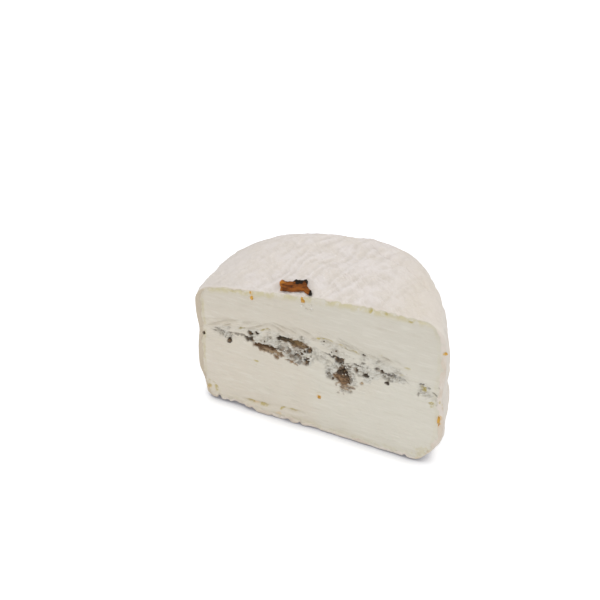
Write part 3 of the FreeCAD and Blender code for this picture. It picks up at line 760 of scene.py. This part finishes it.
def scattered(name, places, sizes, seed, ragged=0.35, tumbled=True):
    """One mesh of small ragged lumps, a few dozen faces each, at places and half sizes, turned at random."""
    rng = np.random.default_rng(SEED + seed)
    around, rows = 8, 4
    points, faces, luck = [], [], []
    base = ring_faces(rows, around)
    shapes = 17
    for number, (place, size) in enumerate(zip(places, sizes)):
        grid = lump_grid(around, rows, seed + number % shapes, ragged, 1.7).reshape(-1, 3)
        lump = np.concatenate([[[0, 0, -1]], grid, [[0, 0, 1]]]) * size
        spin, _ = np.linalg.qr(rng.normal(size=(3, 3)))
        spin[:, 0] *= np.sign(np.linalg.det(spin))
        if not tumbled:
            spin = np.eye(3)
        start = number * len(lump)
        points.append(lump @ spin.T + place)
        faces.extend([[start + corner for corner in face] for face in base])
        luck.append(np.full(len(lump), rng.random()))
    return add_mesh(name, np.concatenate(points), faces, {"luck": np.concatenate(luck)})


CRUMBS_LEFT, CRUMBS_RIGHT = -8, 13  # x of the two places where crumbs gather


def seam_places(rng, count, spread):
    """Random places on the cut in the truffle layer, about two middles, kept where the cut is crumbly."""
    x = np.concatenate([rng.normal(CRUMBS_LEFT, spread, count), rng.normal(CRUMBS_RIGHT, spread, count)])
    share = rng.random(2 * count)
    low, high = layer_face(x, CUT, False) + 2.0, layer_face(x, CUT, True)
    z = low + share * (high - low)
    keep = rng.random(2 * count) < seam_mask(x, z)
    return x[keep], z[keep]


def truffle_crumbs():
    """Small bits of truffle in the seam and the larger ones that show as dark spots."""
    rng = np.random.default_rng(SEED + 1)
    x, z = seam_places(rng, 60, 7.0)
    size = rng.uniform(0.10, 0.26, (len(x), 3))
    large = [(a, b, 0.5 * c) for a, b, c, _, _, strength in TRUFFLE_SPOTS if strength > 0.85 and c < 1.2]
    x, z = np.append(x, [a for a, _, _ in large]), np.append(z, [b for _, b, _ in large])
    size = np.concatenate([size, [[c, c * 0.9, c * 0.8] for _, _, c in large]])
    return scattered("truffle_crumbs", stack(x, CUT + 0.3, z), size, 2)


SLICE_CRUMBS = ((-4.1, 47.3), (-2.7, 46.4), (-1.7, 46.2), (-1.1, 47.0), (-1.5, 48.0))  # x, z under the slice
SLICE_CRUMB = 0.42  # their half size


def paste_crumbs():
    """Crumbs of paste that stand in the seam, and larger ones under the slice."""
    rng = np.random.default_rng(SEED + 3)
    x, z = seam_places(rng, 34, 8.0)
    large = np.full((len(SLICE_CRUMBS), 3), SLICE_CRUMB)
    size = np.concatenate([rng.uniform(0.12, 0.34, (len(x), 3)), large])
    x, z = np.append(x, [a for a, _ in SLICE_CRUMBS]), np.append(z, [b for _, b in SLICE_CRUMBS])
    return scattered("paste_crumbs", stack(x, CUT + 0.2, z), size, 4, 0.25)


GOLDEN = (  # x, z, half sizes of golden flecks on the cut
    (-20.2, 45.2, (0.4, 0.3, 0.55)), (-20.8, 46.8, (0.16, 0.2, 0.4)), (-3.7, 49.0, (0.6, 0.35, 0.5)),
    (-4.2, 49.7, (0.3, 0.25, 0.35)), (1.8, 14.1, (0.55, 0.3, 0.5)), (39.2, 19.2, (0.42, 0.45, 1.2)),
    (38.5, 43.9, (0.45, 0.6, 0.5)), (39.4, 17.6, (0.22, 0.3, 0.7)),
)


def golden_flecks():
    """The golden flecks of dried truffle rind pressed into the cut."""
    places = np.array([(x, CUT - 0.02 + behind_cut(x, z), z) for x, z, _ in GOLDEN])
    halves = np.array([half for _, _, half in GOLDEN])
    return scattered("golden_flecks", places, halves, 6, 0.5, False)


# ---- shader maths ----

class Wire:
    """A shader socket or a number, with the operators that add Math nodes."""

    def __init__(self, paint, socket):
        self.paint, self.socket = paint, socket

    def _math(self, operation, *others, clamp=False):
        settings = {"operation": operation, "use_clamp": clamp}
        return self.paint.node("Math", settings, [self, *others])

    def __add__(self, other):
        return self._math("ADD", other)

    def __sub__(self, other):
        return self._math("SUBTRACT", other)

    def __rsub__(self, other):
        return self.paint.node("Math", {"operation": "SUBTRACT"}, [other, self])

    def __mul__(self, other):
        return self._math("MULTIPLY", other)

    __radd__, __rmul__ = __add__, __mul__

    def clamp(self):
        return self._math("ADD", 0.0, clamp=True)


class Paint:
    """A new material: node adds any node, and the other methods are the ones used often."""

    def __init__(self, name):
        self.material = bpy.data.materials.new(name)
        self.material.use_nodes = True
        self.tree = self.material.node_tree
        self.tree.nodes.clear()
        self.place = self.node("TexCoord", {}, {}, "Object")

    def node(self, kind, settings, inputs, output=0):
        """Adds a shader node: settings first, then inputs by place or name, and returns one output."""
        node = self.tree.nodes.new("ShaderNode" + kind)
        for key, value in settings.items():
            setattr(node, key, value)
        pairs = enumerate(inputs) if isinstance(inputs, (list, tuple)) else inputs.items()
        for key, value in pairs:
            if isinstance(value, Wire):
                self.tree.links.new(value.socket, node.inputs[key])
            else:
                node.inputs[key].default_value = value
        return Wire(self, node.outputs[output])

    def mark(self, name):
        return self.node("Attribute", {"attribute_name": name}, {}, "Fac")

    def noise(self, size, detail=3.0, stretch=(1, 1, 1), rough=0.55, seed=0.0):
        """Noise from 0 to 1 whose features are about size millimetres, stretched along the axes."""
        scale = tuple(1.0 / (size * MM * s) for s in stretch)
        place = {"Vector": self.place, "Scale": scale, "Location": (seed, seed, seed)}
        place = self.node("Mapping", {}, place)
        inputs = {"Vector": place, "Scale": 1.0, "Detail": detail, "Roughness": rough}
        return self.node("TexNoise", {}, inputs)

    def step(self, value, low, high):
        """0 where value is under low, 1 over high, smooth between; turned round if low is over high."""
        return self.node(
            "MapRange", {"interpolation_type": "SMOOTHSTEP"},
            {"Value": value, "From Min": min(low, high), "From Max": max(low, high),
             "To Min": float(low > high), "To Max": float(low < high)},
        )

    def mix(self, factor, one, two):
        """A colour from one to two by factor."""
        return self.node("Mix", {"data_type": "RGBA"}, {0: factor, 6: rgba(one), 7: rgba(two)}, 2)

    def between(self, pattern, low, high, one, two):
        """A colour that goes from one tone to another as a pattern goes from low to high."""
        return self.mix(self.step(pattern, low, high), tone(*one), tone(*two))

    def blend_toward(self, color, shade, strength, pattern, low, high):
        """The colour, blended towards a tone to a strength as a pattern goes from low to high: stains, and
        painted shade and highlight.
        """
        return self.mix(self.step(pattern, low, high) * strength, color, tone(*shade))

    def bump(self, height, distance, strength):
        """A normal bumped by a height, over a distance in millimetres."""
        inputs = {"Height": height, "Distance": distance * MM, "Strength": strength}
        return self.node("Bump", {}, inputs)

    def surface(self, color, roughness, normal, **constants):
        """Ends the material in a Principled shader with these varying inputs and constants."""
        inputs = {"Base Color": color, "Roughness": roughness, "Normal": normal}
        inputs.update({k.replace("_", " "): v for k, v in constants.items()})
        return self.end(self.node("BsdfPrincipled", {}, inputs))

    def end(self, shader):
        """Ends the material in a shader."""
        output = self.tree.nodes.new("ShaderNodeOutputMaterial")
        self.tree.links.new(shader.socket, output.inputs["Surface"])
        return self.material


def rgba(color):
    """The colour as it is where it is a socket or has its alpha, or with an alpha of 1."""
    return color if isinstance(color, Wire) or len(color) == 4 else (*color, 1.0)


def tone(red, green, blue):
    """A colour written as on a display, 0 to 255, as linear light."""
    parts = [c / 255 for c in (red, green, blue)]
    return tuple(c / 12.92 if c <= 0.04045 else ((c + 0.055) / 1.055) ** 2.4 for c in parts)


# mark, strength and tone: painted shade in the cut's hollows (a stain along the layer round the side), then
# gold and amber stains
STAINS_AND_SHADE = (("hollow_shade_and_stain", 0.5, (174, 163, 142)), ("gold", 0.9, (190, 172, 88)), ("amber", 0.9, (228, 184, 104)))


def cheese_material():
    """Paste, rind and crumbly layer in one finish that follows the marks left on the mesh."""
    paint = Paint("cheese")
    share = paint.mark("share") + (paint.noise(0.8) - 0.5) * 0.5
    is_paste = paint.step(share, 0.8, 1.15)

    across = paint.node("SeparateXYZ", {}, [paint.place], "X")
    patches = paint.noise(14.0, 2.0) * 0.8 + across * (1 / (110 * MM))
    smears = paint.noise(0.8, 3.0, stretch=(7, 7, 1))
    paste = paint.between(patches, 0.15, 0.65, (225, 216, 200), (225, 220, 206))
    height = paint.node("SeparateXYZ", {}, [paint.place], "Z")
    paste = paint.blend_toward(paste, (212, 205, 191), 0.38, height, 26 * MM, 44 * MM)
    paste = paint.blend_toward(paste, (235, 230, 218), 0.45, smears, 0.5, 0.75)
    paste = paint.blend_toward(paste, (212, 204, 188), 0.45, smears, 0.45, 0.25)

    blotches = paint.noise(6.0, 3.0, seed=5.0)
    mould = paint.noise(0.6, 4.0, seed=9.0)
    rind = paint.between(blotches, 0.4, 0.64, (232, 224, 219), (228, 219, 210))
    rind = paint.blend_toward(rind, (238, 232, 228), 0.5, mould, 0.4, 0.7)
    # painted shade in the mat print's grooves, then painted highlight on its ridges
    rind = paint.blend_toward(rind, (214, 205, 195), 0.6, paint.mark("print"), 0.2, -1.0)
    rind = paint.blend_toward(rind, (243, 238, 235), 0.6, paint.mark("print"), 0.2, 1.3)

    section = paint.between(blotches, 0.4, 0.6, (224, 211, 195), (232, 222, 211))
    section = paint.blend_toward(section, (204, 190, 168), 0.8, across, -30 * MM, -37 * MM)
    rind = paint.blend_toward(rind, (224, 214, 198), 0.5, across, 10 * MM, 32 * MM)
    rind = paint.blend_toward(rind, (222, 214, 206), 0.6, across, -18 * MM, -36 * MM)
    # painted light: the rind round the side is whitened where it faces sideways, as if lit there
    rind = paint.mix(paint.mark("outer") * 0.6, rind, tone(238, 232, 223))
    rind = paint.mix(paint.mark("section"), rind, section)
    color = paint.mix(is_paste, rind, paste)
    cloud = paint.noise(2.2, 5.0, stretch=(1, 1, 1.6), rough=0.7, seed=3.0)
    tint = paint.mark("tinted") * paint.step(cloud, 0.36, 0.58)
    color = paint.mix(tint * 0.9, color, tone(210, 200, 162))

    crumb = paint.between(paint.noise(0.9, 3.0, seed=2.0), 0.4, 0.65, (226, 224, 216), (204, 200, 190))
    color = paint.mix(paint.mark("crumbly") * 0.75, color, crumb)
    for mark, strength, shade in STAINS_AND_SHADE:
        color = paint.mix(paint.mark(mark) * strength, color, tone(*shade))
    fine = paint.noise(0.7, 4.0, seed=4.0)
    brown = paint.between(fine, 0.35, 0.62, (100, 70, 40), (158, 128, 92))
    color = paint.mix(paint.mark("brown"), color, brown)
    dark = paint.between(fine, 0.4, 0.66, (50, 36, 20), (112, 92, 66))
    color = paint.mix(paint.mark("truffle"), color, dark)

    normal = paint.bump(paint.noise(0.35, 4.0, seed=1.0), 0.12, 0.8)
    return paint.surface(color, 0.85 - is_paste * 0.35, normal)


TRUFFLE_TONES = {  # pale and dark of each shaving
    "1": ((164, 140, 110), (92, 64, 34)), "2": ((128, 102, 64), (52, 40, 20)),
    "3": ((146, 114, 80), (62, 44, 26)),
}


def truffle_material(name, pale, dark):
    """Truffle flesh: dark at one side, paler at the other, in veins."""
    paint = Paint(name)
    veins = paint.mark("paler") + (paint.noise(1.1, 4.0, stretch=(1.8, 1, 0.8), rough=0.65) - 0.5) * 1.6
    color = paint.between(veins, 0.2, 0.9, dark, pale)
    normal = paint.bump(paint.noise(0.3, 4.0, seed=2.0), 0.15, 0.6)
    return paint.surface(color, 0.75, normal)


def slice_material():
    """Dried truffle: orange brown in streaks, paler at its left end, with black crust."""
    paint = Paint("dried slice")
    streak = paint.noise(1.6, 4.0, stretch=(2.2, 0.7, 1), rough=0.6)
    color = paint.between(streak, 0.36, 0.6, (94, 50, 18), (152, 88, 32))
    color = paint.mix(paint.mark("paler") * 0.8, color, tone(202, 130, 48))
    spots = paint.noise(1.3, 2.0, seed=7.0)
    color = paint.blend_toward(color, (66, 36, 18), 0.8, spots, 0.62, 0.72)
    color = paint.mix(paint.step(paint.mark("crust"), 0.35, 0.6), color, tone(36, 28, 20))
    normal = paint.bump(paint.noise(0.35, 4.0, seed=2.0), 0.15, 0.6)
    return paint.surface(color, 0.8, normal, Specular_IOR_Level=0.2)


def lucky_material(name, tones, rough):
    """Small bits whose tone goes by their own number of luck."""
    paint = Paint(name)
    color = paint.between(paint.mark("luck"), 0.2, 0.8, *tones)
    normal = paint.bump(paint.noise(0.25, 3.0), 0.1, 0.5)
    return paint.surface(color, rough, normal)


# ---- floor, light and camera ----

FLOOR_REACH = 3000.0  # half the floor's side
# the floor's white, and the grey of the shadow painted into it near the cheese
FLOOR_WHITE, FLOOR_PAINTED_SHADOW = (0.95, 0.955, 0.97), (158, 157, 162)
PAINTED_SHADOW_REACH = 4.6  # the floor's colour darkens this near to the cheese, a painted shadow
WORLD_LIGHT = 0.55
LAMP_SIZE = 0.6
LAMPS = (  # name, place in metres and power of the square lamps
    ("softbox over", (-0.06, 0.00, 0.92), 2.45), ("softbox right", (0.80, 0.35, 0.45), 1.2),
    ("softbox front", (-0.10, -0.80, 0.46), 1.28),
)
CAMERA_TURN, CAMERA_TILT = 24.017, 36.583  # degrees right of the cut's face, and above the floor
CAMERA_PLACE = (74.34, CUT - 177.36, 193.23)
CAMERA_SENSOR, CAMERA_LENS = 36.0, 51.0


def floor_and_world():
    """A pale floor and an even pale world, both white to the camera except for the object's shadow and a
    shadow painted into the floor's colour near the cheese.
    """
    side = FLOOR_REACH
    corners = [(-side, -side, 0), (side, -side, 0), (side, side, 0), (-side, side, 0)]
    ground = add_mesh("floor", corners, [[0, 1, 2, 3]], smooth=False)
    paint = Paint("floor")
    kinds = ("Is Camera Ray", "Is Glossy Ray", "Is Transmission Ray")
    direct, mirrored, through = (paint.node("LightPath", {}, {}, kind) for kind in kinds)
    seen = (direct + mirrored + through).clamp()
    reach = {"Distance": PAINTED_SHADOW_REACH * MM}
    open_to_light = paint.node("AmbientOcclusion", {"samples": 16}, reach, "AO")
    # painted shadow: the floor's colour, and its glow with it, goes grey where ambient occlusion finds the
    # cheese near
    shade = paint.mix(paint.step(open_to_light, 0.2, 0.97), tone(*FLOOR_PAINTED_SHADOW), FLOOR_WHITE)
    matte = paint.node("BsdfDiffuse", {}, {"Color": shade})
    away = paint.node("VectorMath", {"operation": "LENGTH"}, [paint.place], "Value")
    share = seen * (paint.step(away, 150 * MM, 500 * MM) * 0.3 + 0.34)
    glow = paint.mix(share, (0, 0, 0), shade)
    glow = paint.node("Emission", {}, {"Color": glow, "Strength": 1.0})
    ground.data.materials.append(paint.end(paint.node("AddShader", {}, [matte, glow])))

    world = bpy.data.worlds.new("studio")
    world.use_nodes = True
    bpy.context.scene.world = world
    tree = world.node_tree
    background = next(n for n in tree.nodes if n.type == "BACKGROUND")
    path = tree.nodes.new("ShaderNodeLightPath")
    strength = tree.nodes.new("ShaderNodeMix")  # of a number, from its third input to its fourth
    strength.inputs[2].default_value = WORLD_LIGHT
    strength.inputs[3].default_value = 1.0
    tree.links.new(path.outputs["Is Camera Ray"], strength.inputs[0])
    tree.links.new(strength.outputs[0], background.inputs["Strength"])
    background.inputs["Color"].default_value = (1, 1, 1, 1)


def lamp(name, place, power):
    """A square area lamp at a place in metres, aimed at the middle of the cheese."""
    data = bpy.data.lights.new(name, "AREA")
    data.size, data.energy = LAMP_SIZE, power
    thing = bpy.data.objects.new(name, data)
    thing.location = place
    target = Vector((0, 0, 0.5 * HEIGHT * MM))
    thing.rotation_euler = (target - Vector(place)).to_track_quat("-Z", "Y").to_euler()
    bpy.context.collection.objects.link(thing)


def camera():
    """The camera looks down at the cut from its right."""
    data = bpy.data.cameras.new("camera")
    data.sensor_width, data.lens = CAMERA_SENSOR, CAMERA_LENS
    thing = bpy.data.objects.new("camera", data)
    aim = Euler((math.radians(90 - CAMERA_TILT), 0, math.radians(CAMERA_TURN)))
    thing.matrix_world = Matrix.LocRotScale(Vector(CAMERA_PLACE) * MM, aim, None)
    bpy.context.collection.objects.link(thing)
    bpy.context.scene.camera = thing


# ---- the scene ----

def place(piece, slot, material, *nodes):
    """Gives a piece its finish and its body, and lets it stand in for the nodes. The slot is not used."""
    piece.data.materials.append(material)
    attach(piece, BODY)
    if nodes:
        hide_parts(*nodes)


cheese = cheese_material()
place(lower_paste(), "paste", cheese, "lower_paste")
place(middle_layer(), "truffle_paste", cheese, "truffle_layer")
place(upper_paste(), "paste", cheese, "upper_paste")
place(dried_slice(), "dried_truffle", slice_material(), "truffle_slice")
for number, x, z, half, tilt, pales in SHAVINGS:
    flesh = truffle_material("truffle " + number, *TRUFFLE_TONES[number])
    place(shaving(number, x, z, half, tilt, pales), "truffle", flesh, "truffle_shaving_" + number)
for make, slot, name, tones, rough in (
    (truffle_crumbs, "truffle", "truffle crumbs", ((58, 44, 26), (118, 92, 60)), 0.6),
    (paste_crumbs, "paste", "paste crumbs", ((222, 216, 203), (236, 231, 221)), 0.55),
    (golden_flecks, "dried_truffle", "golden flecks", ((186, 130, 40), (222, 168, 62)), 0.5),
):
    place(make(), slot, lucky_material(name, tones, rough))

floor_and_world()
for name, spot, power in LAMPS:
    lamp(name, spot, power)
camera()
bpy.context.scene.view_settings.view_transform = "Standard"
